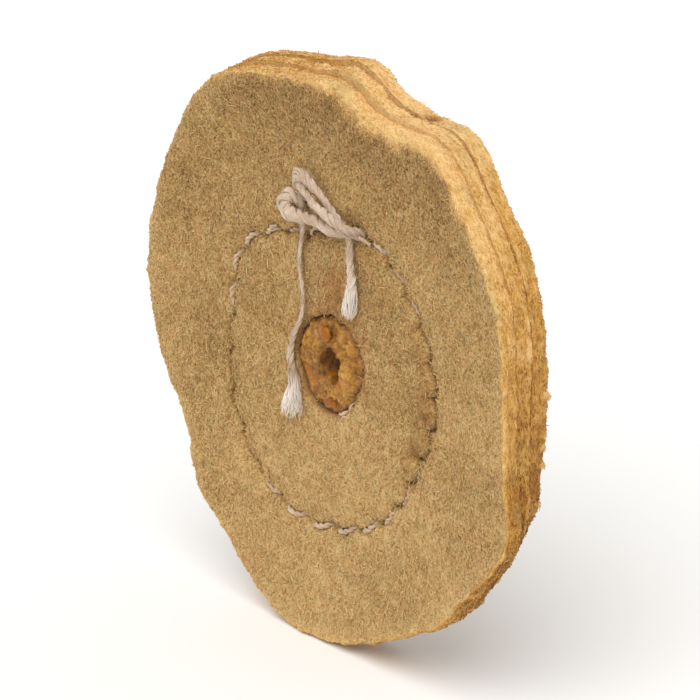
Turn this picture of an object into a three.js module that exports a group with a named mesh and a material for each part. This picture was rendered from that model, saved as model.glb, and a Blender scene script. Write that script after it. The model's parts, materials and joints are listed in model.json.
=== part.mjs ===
// Stitched leather polishing buff: three soft leather discs lock-stitched in one ring round a
// hardened centre. Millimetres. The wheel spins about Y, its knotted face looks along -Y and the
// knot lies towards +Z. The origin is on the spin axis, half way through the three discs.
import * as THREE from 'three';

// Driving dimensions
const wheelRadius = 51; // a 4 inch wheel before it was cut and worn out of round
const plyThickness = { front: 3.0, middle: 3.0, back: 3.3 };
const plyGap = 0.15; // between leather faces that lie on each other
const edgeRounding = 0.8;
const cupDepth = 1.2; // how far the rim curls towards the knotted face
const cupStart = 33; // the discs are flat inside this radius
const centreHoleRadius = 8.9;
const coreRadius = 8.6;
const coreRecess = 1.3; // how far the core's edge lies below both faces
const coreBulge = 0.3; // and how far its lip round the arbor hole stands out
const coreSides = 48;
const arborRadius = 3.175; // a 1/4 inch spindle
const stitchRadius = 28; // nominal, the sewn ring is as uneven as the outline
const stitchCount = 27;
const stitchDiameter = 0.9;
const stitchLie = 0.5; // depth of the thread's centre between two needle holes
const stitchDip = 0.95; // and at a needle hole
const grooveDepth = { between: 1.3, atHole: 1.9 };
const grooveHalfWidth = { bottom: 0.8, top: 1.1 };
const grooveBand = 2; // leather that moves with the groove on each side
const firstHole = 70; // degrees from +X towards +Z, where both thread ends come out
const tailDiameter = 1.3;
const tailLift = 0.95; // centre of a string that lies on the face
const stepsPerStitch = 3;

const thickness = plyThickness.front + plyThickness.middle + plyThickness.back + 2 * plyGap;
const faceY = thickness / 2;
const cupMiddle = (wheelRadius + cupStart) / 2;
const degree = Math.PI / 180;

// The outline about the bore: degrees from +X towards +Z, and millimetres.
const outline = [
  [-177, 52], [-163, 50], [-149, 48], [-139, 51], [-127, 50], [-108, 53], [-95, 52],
  [-75, 49.5], [-62, 48.5], [-52, 49.5], [-44, 48], [-31, 49], [-18, 50], [-8, 46.8],
  [3, 46], [16, 47.5], [28, 50], [47, 51.5], [58, 53.5], [67, 50], [78, 48], [87, 51],
  [99, 51], [120, 54.5], [134, 55], [158, 53.5],
];
// The sewn ring about the bore, in the same terms.
const stitchRing = [
  [0, 27], [45, 26.5], [75, 26.5], [105, 23], [129, 26], [150, 29.5], [180, 29],
  [205, 32], [240, 33], [270, 30], [300, 28], [330, 26],
];
// The discs were cut apart from each other, so the rear ones stand out a little at the top.
const plyShift = { front: 0, middle: 0.8, back: 1.4 };
const shiftDirection = 100 * degree;
// Where each was cut in closer or left longer than the others: degrees, width, millimetres.
const plyRecut = {
  front: [[-25, 9, 1.2]],
  middle: [[-22, 13, -1.2], [83, 10, 1.0]],
  back: [[-22, 13, -2.9], [83, 10, 2.0]],
};

const finishes = {
  leather: { color: 0xb08c5a, roughness: 0.95, metalness: 0 },
  core: { color: 0x8a5a26, roughness: 0.6, metalness: 0 },
  shellac: { color: 0xc8761c, roughness: 0.2, metalness: 0 },
  thread: { color: 0xd2c4ab, roughness: 0.9, metalness: 0 },
};

// A smooth closed function through [degrees, value] pairs.
function roundCurve(pairs) {
  const n = pairs.length;
  const knot = (i) => {
    const turn = Math.floor(i / n);
    const [angle, value] = pairs[i - turn * n];
    return [angle + 360 * turn, value];
  };
  return (angle) => {
    let a = angle / degree;
    while (a < pairs[0][0]) a += 360;
    while (a >= pairs[0][0] + 360) a -= 360;
    let i = 0;
    while (i < n - 1 && pairs[i + 1][0] <= a) i += 1;
    const [before, from, to, after] = [knot(i - 1), knot(i), knot(i + 1), knot(i + 2)];
    const span = to[0] - from[0];
    const t = (a - from[0]) / span;
    const leave = ((to[1] - before[1]) / (to[0] - before[0])) * span;
    const arrive = ((after[1] - from[1]) / (after[0] - from[0])) * span;
    return (2 * t ** 3 - 3 * t ** 2 + 1) * from[1] + (t ** 3 - 2 * t ** 2 + t) * leave
      + (3 * t ** 2 - 2 * t ** 3) * to[1] + (t ** 3 - t ** 2) * arrive;
  };
}

const outlineAt = roundCurve(outline);
const ringAt = roundCurve(stitchRing);

// 1 at a needle hole and 0 half a stitch away from it.
function holeShare(angle) {
  const phase = ((angle / degree - firstHole) * stitchCount) / 360;
  const away = Math.abs(phase - Math.round(phase));
  return Math.max(0, 1 - away * stepsPerStitch);
}

// Where a point of the nominal round wheel lies on the real one.
function outOfRound(radius, angle, ply) {
  let edge = outlineAt(angle) + plyShift[ply] * Math.cos(angle - shiftDirection);
  for (const [centre, width, change] of plyRecut[ply]) {
    const away = ((angle / degree - centre + 540) % 360) - 180;
    edge += change * Math.exp(-((away / width) ** 2));
  }
  const ring = ringAt(angle);
  const nominal = [centreHoleRadius, stitchRadius - grooveBand, stitchRadius + grooveBand, wheelRadius];
  const real = [centreHoleRadius, ring - grooveBand, ring + grooveBand, edge];
  if (radius <= nominal[0]) return radius;
  let i = 0;
  while (i < 2 && radius > nominal[i + 1]) i += 1;
  const t = (radius - nominal[i]) / (nominal[i + 1] - nominal[i]);
  return real[i] + t * (real[i + 1] - real[i]);
}

// The curl of the rim at a real radius, the same for all discs, so that they stay together.
function cup(radius) {
  const t = Math.max(0, (radius - cupStart) / (wheelRadius - cupStart));
  return -cupDepth * t * t;
}

// Bends a lathed nominal disc to the real outline, ring and cup.
function bendDisc(geometry, ply, grooveSide) {
  const position = geometry.attributes.position;
  for (let i = 0; i < position.count; i += 1) {
    const [x, y, z] = [position.getX(i), position.getY(i), position.getZ(i)];
    const nominal = Math.hypot(x, z);
    const angle = Math.atan2(z, x);
    const radius = outOfRound(nominal, angle, ply);
    const inGroove = grooveSide !== 0 && Math.abs(nominal - stitchRadius) < grooveHalfWidth.bottom + 0.1
      && y * grooveSide > 0 && y * grooveSide < faceY - 0.5 * grooveDepth.between;
    const pit = inGroove ? holeShare(angle) * (grooveDepth.atHole - grooveDepth.between) : 0;
    const bentY = y + cup(radius) - grooveSide * pit;
    position.setXYZ(i, radius * Math.cos(angle), bentY, radius * Math.sin(angle));
  }
  return geometry;
}

function lathe(profile, segments) {
  const points = profile.map(([radius, y]) => new THREE.Vector2(radius, y));
  points.push(points[0].clone());
  const start = (90 - firstHole) * degree; // puts a row of vertices on every needle hole
  return new THREE.LatheGeometry(points, segments, start);
}

// The profile of an outer disc with its stitch groove, drawn for the back and mirrored for the front.
function groovedProfile(innerY) {
  const inner = stitchRadius - grooveHalfWidth.top;
  const outer = stitchRadius + grooveHalfWidth.top;
  const grooveY = faceY - grooveDepth.between;
  return [
    [centreHoleRadius, innerY],
    [cupStart, innerY],
    [cupMiddle, innerY],
    [wheelRadius - edgeRounding, innerY],
    [wheelRadius, innerY + edgeRounding],
    [wheelRadius, faceY - edgeRounding],
    [wheelRadius - edgeRounding, faceY],
    [cupMiddle, faceY],
    [cupStart, faceY],
    [outer, faceY],
    [stitchRadius + grooveHalfWidth.bottom, grooveY],
    [stitchRadius - grooveHalfWidth.bottom, grooveY],
    [inner, faceY],
    [centreHoleRadius + 0.5, faceY],
    [centreHoleRadius, faceY - 0.5],
  ];
}

function outerPly(ply, innerY, side) {
  const profile = groovedProfile(innerY).map(([radius, y]) => [radius, y * side]);
  if (side < 0) profile.reverse();
  return bendDisc(lathe(profile, stitchCount * stepsPerStitch), ply, side);
}

function middlePly(lowY, highY) {
  const profile = [
    [centreHoleRadius, lowY],
    [cupStart, lowY],
    [cupMiddle, lowY],
    [wheelRadius - edgeRounding, lowY],
    [wheelRadius, lowY + edgeRounding],
    [wheelRadius, highY - edgeRounding],
    [wheelRadius - edgeRounding, highY],
    [cupMiddle, highY],
    [cupStart, highY],
    [centreHoleRadius, highY],
  ];
  return bendDisc(lathe(profile, stitchCount * stepsPerStitch), 'middle', 0);
}

// The hardened core: a bush that bulges round the arbor hole and falls away to its edge.
function coreBush() {
  const lip = arborRadius + 0.8;
  const shoulder = (lip + coreRadius) / 2;
  const half = [
    [arborRadius, faceY + coreBulge - 0.3],
    [lip, faceY + coreBulge],
    [shoulder, faceY - 0.35],
    [coreRadius - 0.6, faceY - coreRecess],
    [coreRadius, faceY - coreRecess - 0.6],
  ];
  const front = half.map(([radius, y]) => [radius, -y]);
  return lathe([...front, ...half.reverse()], coreSides);
}

// A drop of shellac that set on the core's front face.
function shellacBead(length, width, height) {
  return new THREE.SphereGeometry(1, 16, 10).scale(length / 2, height / 2, width / 2);
}

// One run of thread round the ring, from just past the first hole to just before it.
class StitchPath extends THREE.Curve {
  constructor(side) {
    super();
    this.side = side;
  }

  getUtoTmapping(u) {
    return u; // equal angles, so that a section lies on every needle hole
  }

  getPoint(t, target = new THREE.Vector3()) {
    const clearOfEnd = 0.5 / (stitchCount * stepsPerStitch);
    const share = Math.min(1 - clearOfEnd, Math.max(clearOfEnd, t));
    const angle = firstHole * degree + share * 2 * Math.PI;
    const depth = stitchLie + (stitchDip - stitchLie) * holeShare(firstHole * degree + t * 2 * Math.PI);
    const radius = ringAt(angle);
    return target.set(radius * Math.cos(angle), this.side * (faceY - depth), radius * Math.sin(angle));
  }
}

function roundSection(diameter, sides) {
  const corners = [];
  for (let i = 0; i < sides; i += 1) {
    const angle = (2 * Math.PI * i) / sides;
    corners.push(new THREE.Vector2(Math.cos(angle) * diameter / 2, Math.sin(angle) * diameter / 2));
  }
  return new THREE.Shape(corners);
}

function tube(path, diameter, sides, steps) {
  return new THREE.ExtrudeGeometry(roundSection(diameter, sides), { steps, extrudePath: path });
}

// A string that lies on the front face: points are [x, height of its centre off the face, z].
function string(points, steps) {
  const places = points.map(([x, lift, z]) => new THREE.Vector3(x, -faceY - lift, z));
  return tube(new THREE.CatmullRomCurve3(places, false, 'centripetal'), tailDiameter, 8, steps);
}

// The right-hand tail: hangs free, runs up under the knot, folds at the top and comes back
// through the loop to the stitch hole.
const rightTail = [
  [5.9, tailLift, 10.6], [6.9, tailLift, 13.8], [6.8, tailLift, 17.4], [6.6, tailLift, 21.0],
  [6.5, tailLift, 24.2], [5.2, tailLift, 26.4], [2.7, 1.2, 28.6], [0.3, 1.5, 30.8],
  [-2.3, 1.8, 32.8], [-4.5, 2.2, 34.1], [-6.5, 2.8, 33.4], [-6.2, 3.3, 31.6],
  [-4.8, 3.2, 30.0], [-2.6, 2.9, 29.6], [-0.6, 2.8, 29.0], [1.4, 2.7, 28.2],
  [4.3, 2.7, 27.6], [7.3, 2.4, 27.4], [9.3, 1.3, 26.7],
];
// The left-hand tail: hangs past the core, runs up inside the loop, round it and along the
// bottom of the knot to the stitch hole.
const leftTail = [
  [-9.4, tailLift, -11.2], [-9.4, tailLift, -8.0], [-9.6, tailLift, -4.6], [-9.9, tailLift, -1.2],
  [-9.6, tailLift, 2.4], [-8.0, tailLift, 5.6], [-7.1, tailLift, 8.8], [-7.2, tailLift, 12.4],
  [-8.1, tailLift, 15.8], [-7.7, tailLift, 19.2], [-6.9, tailLift, 22.6], [-6.7, tailLift, 25.2],
  [-7.3, 1.0, 27.6], [-8.6, 1.2, 29.3], [-10.3, 1.7, 29.6], [-11.6, 2.3, 28.4],
  [-11.0, 2.7, 26.6], [-9.1, 2.8, 25.4], [-6.6, 2.8, 25.1], [-3.6, 2.8, 25.4],
  [-1.2, 2.7, 25.6], [1.8, 2.7, 25.4], [4.5, 2.7, 25.2], [7.2, 2.4, 25.3], [9.0, 1.2, 24.8],
];

const buff = new THREE.Group();

function add(name, finish, geometry, position = [0, 0, 0]) {
  const mesh = new THREE.Mesh(geometry, new THREE.MeshStandardMaterial(finishes[finish]));
  mesh.name = name;
  mesh.position.set(...position);
  buff.add(mesh);
}

const frontInnerY = faceY - plyThickness.front;
const backInnerY = faceY - plyThickness.back;

add('front_ply', 'leather', outerPly('front', frontInnerY, -1));
add('middle_ply', 'leather', middlePly(-frontInnerY + plyGap, backInnerY - plyGap));
add('back_ply', 'leather', outerPly('back', backInnerY, 1));
add('core_bush', 'core', coreBush());
add('shellac_bead_upper', 'shellac', shellacBead(4.0, 3.0, 1.2), [-0.6, -5.8, 6.0]);
add('shellac_bead_lower', 'shellac', shellacBead(2.8, 1.6, 1.0), [0.85, -5.4, -6.3]);
add('needle_thread', 'thread', tube(new StitchPath(-1), stitchDiameter, 6, stitchCount * stepsPerStitch));
add('bobbin_thread', 'thread', tube(new StitchPath(1), stitchDiameter, 6, stitchCount * stepsPerStitch));
add('left_tail', 'thread', string(leftTail, 48));
add('right_tail', 'thread', string(rightTail, 40));

export default buff;
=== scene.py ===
import itertools
import json
import math

import bmesh
import bpy
import numpy as np
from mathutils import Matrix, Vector

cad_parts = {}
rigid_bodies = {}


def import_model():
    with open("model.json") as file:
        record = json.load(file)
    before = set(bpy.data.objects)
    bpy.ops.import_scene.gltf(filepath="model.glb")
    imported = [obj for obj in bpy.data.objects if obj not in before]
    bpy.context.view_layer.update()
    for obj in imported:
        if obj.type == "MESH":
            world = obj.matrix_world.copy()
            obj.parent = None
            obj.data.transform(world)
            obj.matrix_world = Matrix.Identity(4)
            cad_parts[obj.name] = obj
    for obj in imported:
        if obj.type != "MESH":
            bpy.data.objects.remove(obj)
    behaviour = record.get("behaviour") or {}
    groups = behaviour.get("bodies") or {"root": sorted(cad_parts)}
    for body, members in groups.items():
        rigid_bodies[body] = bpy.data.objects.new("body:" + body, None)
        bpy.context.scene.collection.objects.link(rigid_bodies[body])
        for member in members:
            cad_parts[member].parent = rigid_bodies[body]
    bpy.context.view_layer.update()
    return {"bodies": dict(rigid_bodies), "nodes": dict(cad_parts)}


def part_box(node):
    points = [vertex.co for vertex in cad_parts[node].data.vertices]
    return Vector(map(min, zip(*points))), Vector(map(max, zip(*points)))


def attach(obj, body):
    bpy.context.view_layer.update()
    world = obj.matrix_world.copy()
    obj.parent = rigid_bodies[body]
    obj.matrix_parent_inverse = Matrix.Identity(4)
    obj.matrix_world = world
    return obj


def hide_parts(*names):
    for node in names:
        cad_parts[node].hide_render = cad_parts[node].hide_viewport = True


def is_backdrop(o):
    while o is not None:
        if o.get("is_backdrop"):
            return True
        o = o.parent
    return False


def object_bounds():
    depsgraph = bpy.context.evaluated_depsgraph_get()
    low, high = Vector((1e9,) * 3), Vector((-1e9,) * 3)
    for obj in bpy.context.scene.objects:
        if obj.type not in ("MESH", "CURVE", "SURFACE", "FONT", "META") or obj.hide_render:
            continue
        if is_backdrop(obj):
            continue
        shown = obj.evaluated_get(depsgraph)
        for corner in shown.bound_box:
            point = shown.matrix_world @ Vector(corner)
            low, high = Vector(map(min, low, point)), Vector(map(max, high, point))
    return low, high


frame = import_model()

# A polishing buff: three discs of napped split leather sewn together round a shellac-hard core.
# The wheel spins about Y and its knotted face looks along -Y. Working lengths are in millimetres.

mm = 0.001
body = list(frame["bodies"])[0]
print("frame loaded:", len(frame["nodes"]), "nodes on", body)


def placed(name, data):
    # A new object in the scene.
    thing = bpy.data.objects.new(name, data)
    bpy.context.scene.collection.objects.link(thing)
    return thing


view = {
    "azimuth": 51.5,  # degrees round the wheel from its knotted face
    "elevation": 19.5,
    "distance": 600.0,
    "sensor": 36.0,
    "lens": 178.97,
    "shift": (-0.0041, 0.0146),
    "clip": (0.01, 10.0),  # metres
}


def setCamera():
    data = bpy.data.cameras.new("camera")
    data.sensor_width = view["sensor"]
    data.lens = view["lens"]
    data.shift_x, data.shift_y = view["shift"]
    data.clip_start, data.clip_end = view["clip"]
    camera = placed("camera", data)
    around = math.radians(view["azimuth"])
    up = math.radians(view["elevation"])
    back = Vector((math.sin(around) * math.cos(up), -math.cos(around) * math.cos(up), math.sin(up)))
    camera.location = back * view["distance"] * mm
    camera.rotation_euler = (-back).to_track_quat("-Z", "Y").to_euler()
    bpy.context.scene.camera = camera


def linear(hexColour):
    # "#rrggbb" in sRGB to the linear colour that shaders work in.
    parts = [int(hexColour[i:i + 2], 16) / 255 for i in (1, 3, 5)]
    return tuple(c / 12.92 if c <= 0.04045 else ((c + 0.055) / 1.055) ** 2.4 for c in parts) + (1.0,)


def setInputs(node, inputs):
    # Sockets are linked, all else is a fixed value.
    for key, value in inputs.items():
        if isinstance(value, bpy.types.NodeSocket):
            node.id_data.links.new(value, node.inputs[key])
        else:
            node.inputs[key].default_value = value


def addNode(tree, kind, inputs=None, **settings):
    # A node with its settings, its fixed input values and the links into it.
    node = tree.nodes.new(kind)
    for name, value in settings.items():
        setattr(node, name, value)
    setInputs(node, inputs or {})
    return node


def compute(tree, operation, *values):
    return addNode(tree, "ShaderNodeMath", dict(enumerate(values)), operation=operation).outputs[0]


def inPlace(tree):
    return addNode(tree, "ShaderNodeTexCoord").outputs["Object"]


def painted(tree, name, output="Fac"):
    # What was stored at the mesh's points under this name.
    return addNode(tree, "ShaderNodeAttribute", attribute_name=name).outputs[output]


def noise(tree, place, size, detail, **more):
    # Features of this many millimetres.
    inputs = {"Vector": place, "Scale": 1 / (size * mm), "Detail": detail, **more}
    return addNode(tree, "ShaderNodeTexNoise", inputs).outputs["Fac"]


def remap(tree, value, *ends):
    # ends: the lowest and highest value coming in, then what they become.
    inputs = {"Value": value, **dict(zip(("From Min", "From Max", "To Min", "To Max"), ends))}
    return addNode(tree, "ShaderNodeMapRange", inputs).outputs[0]


def blend(tree, share, under, over):
    inputs = {0: share, 6: under, 7: over}
    return addNode(tree, "ShaderNodeMix", inputs, data_type="RGBA").outputs[2]


def dented(tree, height, strength, depth):
    inputs = {"Strength": strength, "Distance": depth * mm, "Height": height}
    return addNode(tree, "ShaderNodeBump", inputs).outputs["Normal"]


def softNoise(points, size, seed):
    # Smooth random field from -1 to 1 with features about size millimetres across.
    grid = np.asarray(points) / size + 31.7 * seed
    cell = np.floor(grid).astype(np.int64)
    share = grid - cell
    share = share * share * (3 - 2 * share)
    total = np.zeros(grid.shape[:-1])
    for corner in itertools.product((0, 1), repeat=3):
        x, y, z = np.moveaxis(cell + np.array(corner), -1, 0)
        mixed = (x * 73856093 ^ y * 19349663 ^ z * 83492791 ^ seed * 2654435761) & 0xFFFFFFFF
        mixed = ((mixed ^ (mixed >> 15)) * 2246822519) & 0xFFFFFFFF
        mixed = ((mixed ^ (mixed >> 13)) * 3266489917) & 0xFFFFFFFF
        value = ((mixed ^ (mixed >> 16)) & 0xFFFF) / 32767.5 - 1
        total += value * np.prod(np.where(corner, share, 1 - share), axis=-1)
    return total


def smooth(low, high, value):
    share = np.clip((value - low) / (high - low), 0, 1)
    return share * share * (3 - 2 * share)


def hill(off, width):
    # 1 in the middle, fading to 0 over the width.
    return np.exp(-(off / width) ** 2)


def bump(centre, width, degrees):
    # The same round the wheel, about one direction.
    return hill((degrees - centre + 180) % 360 - 180, width)


def allBumps(bumps, degrees):
    return sum(amount * bump(centre, width, degrees) for centre, width, amount in bumps)


def rough(points, seed, *waves):
    # Random fields laid over each other: how strong and how wide each one is.
    return sum(strong * softNoise(points, wide, seed + i) for i, (strong, wide) in enumerate(waves))


def pointsOf(mesh):
    points = np.zeros(len(mesh.vertices) * 3)
    mesh.vertices.foreach_get("co", points)
    return points.reshape(-1, 3) / mm


def paint(mesh, layers):
    # Stores a number or a direction at each point, for the materials and the nap to read.
    for key, values in layers.items():
        single = values.size == len(mesh.vertices)
        layer = mesh.attributes.new(key, "FLOAT" if single else "FLOAT_VECTOR", "POINT")
        layer.data.foreach_set("value" if single else "vector", values.ravel().astype(np.float32))


def plainObject(name, mesh, material, nodes=()):
    piece = placed(name, mesh)
    mesh.materials.clear()
    mesh.materials.append(material)
    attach(piece, body)
    if nodes:
        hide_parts(*nodes)
    return piece


def between(count):
    # Even steps from 0 to 1 without the ends.
    return np.linspace(0, 1, count + 2)[1:-1]


def gather(rows, degrees):
    # Rows of radius, height, how far they face outwards and how far back, over all directions.
    radius, height = (np.array([row[i] + 0 * degrees for row in rows]) for i in (0, 1))
    out, back = (np.array([row[i] for row in rows])[:, None] for i in (2, 3))
    return radius, height, out, back


def ringQuads(rows, columns):
    # Faces of a grid that closes both ways, as on a bicycle tube.
    index = np.arange(rows * columns).reshape(rows, columns)
    after = np.roll(index, -1, axis=0)
    quads = np.stack([index, np.roll(index, -1, axis=1), np.roll(after, -1, axis=1), after], axis=-1)
    return quads.reshape(-1, 4)


def ringMesh(name, points):
    # points is rows x columns x 3.
    quads = ringQuads(*points.shape[:2])
    flat = points.reshape(-1, 3)
    a, b, c, d = (flat[quads[:, i]] for i in range(4))
    volume = np.einsum("ij,ij->", a, np.cross(b, c)) + np.einsum("ij,ij->", a, np.cross(c, d))
    if volume < 0:
        quads = quads[:, ::-1]
    mesh = bpy.data.meshes.new(name)
    mesh.from_pydata(flat * mm, [], quads.tolist())
    mesh.shade_smooth()
    return mesh


# The CAD discs are measured, so that the pieces drawn over them keep to their outlines.

wheel = {
    "stitches": 27,
    "firstHole": 70.0,  # degrees from +X towards +Z, where both thread ends come out
    "directions": 81,  # in which the CAD discs are measured
    "cupDepth": 1.2,  # how far the rim curls to the knotted face
    "cupStart": 33.0,
    "cupReach": 18.0,
    "flatWithin": 12.0,  # the faces are flat inside this radius
}


def reachOf(node, pick):
    # The farthest or nearest reach of a CAD node in each direction about the spin axis.
    points = pointsOf(frame["nodes"][node].data)
    step = 360 / wheel["directions"]
    turned = np.degrees(np.arctan2(points[:, 2], points[:, 0])) - wheel["firstHole"]
    index = np.round(turned / step).astype(int) % wheel["directions"]
    reach = np.full(wheel["directions"], 0.0 if pick is np.maximum else np.inf)
    pick.at(reach, index, np.hypot(points[:, 0], points[:, 2]))
    directions = wheel["firstHole"] + step * np.arange(wheel["directions"])
    return lambda degrees: np.interp(degrees, directions, reach, period=360)


def flatFaces(node):
    points = pointsOf(frame["nodes"][node].data)
    heights = points[np.hypot(points[:, 0], points[:, 2]) < wheel["flatWithin"], 1]
    return heights.min(), heights.max()


def cup(radius):
    return -wheel["cupDepth"] * (np.maximum(radius - wheel["cupStart"], 0) / wheel["cupReach"]) ** 2


threadOuter = reachOf("needle_thread", np.maximum)
threadInner = reachOf("needle_thread", np.minimum)


def sewingRing(degrees):
    return (threadOuter(degrees) + threadInner(degrees)) / 2


def onWheel(radius, height, degrees):
    angle = np.radians(degrees)
    radius, height, angle = np.broadcast_arrays(radius, height, angle)
    return np.stack([radius * np.cos(angle), height, radius * np.sin(angle)], axis=-1)


hide = {
    "fleck": 0.42,  # width of the tufts and pits of the nap
    "patch": 6.0,  # width of the paler and browner patches
    "cloud": 2.6,  # width of the faint warm and greenish clouds
    "face": ("#704c28", "#b08a51", "#d8b679"),
    "edge": ("#955c20", "#d39f4b", "#efc888"),
    "rose": "#c58a5c",
    "olive": "#94905a",
    "soak": "#a8672a",
    # painted shade for creases, holes and seams, also the dark of brown stains
    "paintedShadeAndStain": "#63400f",
}


def newMaterial(name, roughness):
    material = bpy.data.materials.new(name)
    material.use_nodes = True
    shader = material.node_tree.nodes["Principled BSDF"]
    shader.inputs["Roughness"].default_value = roughness
    return material, material.node_tree, shader


def ramp(tree, factor, *stops):
    node = addNode(tree, "ShaderNodeValToRGB", {"Fac": factor})
    elements = node.color_ramp.elements
    while len(elements) < len(stops):
        elements.new(0.5)
    for element, (position, colour) in zip(elements, stops):
        element.position = position
        element.color = linear(colour)
    return node.outputs["Color"]


def hideColour(tree, tone):
    # Face and edge colours by tone, then shellac stain, then a dark brown that is painted shade with some
    # grime in the sewn groove, on the hole's wall and along the seams, and brown stain in the patches
    # inside the ring.
    face, edge = (ramp(tree, tone, *zip((0.05, 0.5, 0.95), hide[key])) for key in ("face", "edge"))
    colour = blend(tree, painted(tree, "edge"), face, edge)
    for key in ("soak", "paintedShadeAndStain"):
        colour = blend(tree, painted(tree, key), colour, linear(hide[key]))
    return colour


def makeNappedSplit():
    # Split leather buffed to a nap: dull, mottled, with small dark pits between pale tufts.
    material, tree, shader = newMaterial("nappedSplitLeather", 0.95)
    place = painted(tree, "grain", "Vector")
    fleck = noise(tree, place, hide["fleck"], 3.0, Roughness=0.65)
    patch = noise(tree, place, hide["patch"], 2.0)
    # the fleck pattern that raises the bump also pales the tufts and darkens the pits between them, most
    # on the faces: partly the nap's own mottle, partly painted shade in its pits
    gain = compute(tree, "MULTIPLY_ADD", painted(tree, "edge"), -0.9, 2.3)
    spread = compute(tree, "MULTIPLY", compute(tree, "ADD", fleck, -0.51), gain)
    mottle = compute(tree, "MULTIPLY_ADD", patch, 0.5, spread)
    colour = hideColour(tree, compute(tree, "ADD", painted(tree, "tone"), mottle))
    cloud = noise(tree, place, hide["cloud"], 3.0)
    for tint, low, high in (("rose", 0.52, 0.7), ("olive", 0.48, 0.3)):
        colour = blend(tree, remap(tree, cloud, low, high, 0.0, 0.3), colour, linear(hide[tint]))
    setInputs(shader, {
        "Base Color": colour, "Normal": dented(tree, fleck, 1.0, 0.38), "Sheen Weight": 0.15,
        "Sheen Roughness": 0.5, "Specular IOR Level": 0.2})
    return material


def makeNap():
    # Loose collagen fibres of the nap: the same hide, each fibre a little paler or browner.
    material, tree, shader = newMaterial("leatherNapFibres", 0.85)
    own = compute(tree, "MULTIPLY_ADD", painted(tree, "shade"), 0.7, -0.18)
    colour = hideColour(tree, compute(tree, "ADD", painted(tree, "tone"), own))
    setInputs(shader, {"Base Color": colour, "Specular IOR Level": 0.25})
    return material


yarn = {
    "fibre": 0.16,  # drawn coarser than cotton's real 0.02 so that it shows
    "soil": 2.5,
    "tail": ("#8d7157", "#c9b096", "#f0e5d8"),
    "thread": ("#876a4e", "#c6a98b", "#e6d3bf"),
    "brush": "#fff6ea",  # where the ends have come apart
}


def makeCotton(name, tones):
    # Unbleached spun cotton: matt off-white with grey-brown soil in blotches, and a painted shade between
    # its fibres, where the fibre pattern that makes the bump dips.
    material, tree, shader = newMaterial(name, 0.9)
    place = inPlace(tree)
    fibre = noise(tree, place, yarn["fibre"], 2.0, Distortion=1.5)
    soil = noise(tree, place, yarn["soil"], 2.0)
    total = compute(tree, "MULTIPLY_ADD", soil, 0.5, compute(tree, "MULTIPLY_ADD", fibre, 0.6, -0.05))
    spun = ramp(tree, total, *zip((0.2, 0.5, 0.8), tones))
    setInputs(shader, {
        "Base Color": blend(tree, painted(tree, "loose"), spun, linear(yarn["brush"])),
        "Normal": dented(tree, fibre, 0.7, 0.06), "Sheen Weight": 0.25, "Specular IOR Level": 0.25})
    return material


shellac = {
    "grit": 0.8,
    "pool": 4.0,
    "cloud": 1.2,
    "core": ("#5a3510", "#9e6a22", "#cd9b43"),
    "amber": "#a7650c",
    "amberDark": "#7c4108",
}


def makeSoakedCore():
    # Leather pulp soaked in shellac and set hard: rough, orange-brown, glossy only where resin pooled.
    material, tree, shader = newMaterial("shellacSoakedLeather", 0.6)
    place = inPlace(tree)
    grit = noise(tree, place, shellac["grit"], 4.0, Roughness=0.65)
    pool = noise(tree, place, shellac["pool"], 1.0)
    spread = compute(tree, "MULTIPLY_ADD", grit, 1.4, -0.7)
    total = compute(tree, "ADD", painted(tree, "tone"), spread)
    colour = ramp(tree, total, *zip((0.1, 0.5, 0.9), shellac["core"]))
    pooled = remap(tree, pool, 0.46, 0.36, 0.0, 0.6)
    setInputs(shader, {
        "Base Color": blend(tree, pooled, colour, linear(shellac["amber"])),
        "Roughness": remap(tree, pool, 0.35, 0.6, 0.35, 0.8),
        "Normal": dented(tree, grit, 1.0, 0.35)})
    return material


def makeAmber():
    # A set drop of orange shellac: deep amber with a soft shine and slight ripples.
    material, tree, shader = newMaterial("amberShellac", 0.35)
    place = inPlace(tree)
    cloud = noise(tree, place, shellac["cloud"], 2.0)
    setInputs(shader, {
        "Base Color": ramp(tree, cloud, (0.3, shellac["amberDark"]), (0.65, shellac["amber"])),
        "Normal": dented(tree, cloud, 0.5, 0.2), "Specular IOR Level": 0.3})
    return material


def newTree(name, inputs):
    # A geometry tree with these inputs beside the geometry itself.
    tree = bpy.data.node_groups.new(name, "GeometryNodeTree")
    for socket, kind in {"Geometry": "Geometry", **inputs}.items():
        tree.interface.new_socket(socket, in_out="INPUT", socket_type="NodeSocket" + kind)
    tree.interface.new_socket("Geometry", in_out="OUTPUT", socket_type="NodeSocketGeometry")
    return tree, addNode(tree, "NodeGroupInput").outputs


def endTree(tree, geometry, material):
    # Makes every copy real, gives it the material and hands it out.
    whole = addNode(tree, "GeometryNodeRealizeInstances", {"Geometry": geometry})
    covered = addNode(tree, "GeometryNodeSetMaterial", {
        "Geometry": whole.outputs["Geometry"], "Material": material})
    addNode(tree, "NodeGroupOutput", {"Geometry": covered.outputs["Geometry"]})
    return tree


def buildYarnTree():
    # Every spline becomes a round strand as thick as the spline's own radius says.
    tree, given = newTree("spunStrands", {"Sides": "Int", "Material": "Material"})
    circle = addNode(tree, "GeometryNodeCurvePrimitiveCircle", {
        "Resolution": given["Sides"], "Radius": 1.0})
    radius = addNode(tree, "GeometryNodeInputRadius")
    tube = addNode(tree, "GeometryNodeCurveToMesh", {
        "Curve": given["Geometry"], "Profile Curve": circle.outputs["Curve"],
        "Scale": radius.outputs[0], "Fill Caps": True})
    shaded = addNode(tree, "GeometryNodeSetShadeSmooth", {"Geometry": tube.outputs["Mesh"]})
    return endTree(tree, shaded.outputs["Geometry"], given["Material"])


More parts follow.
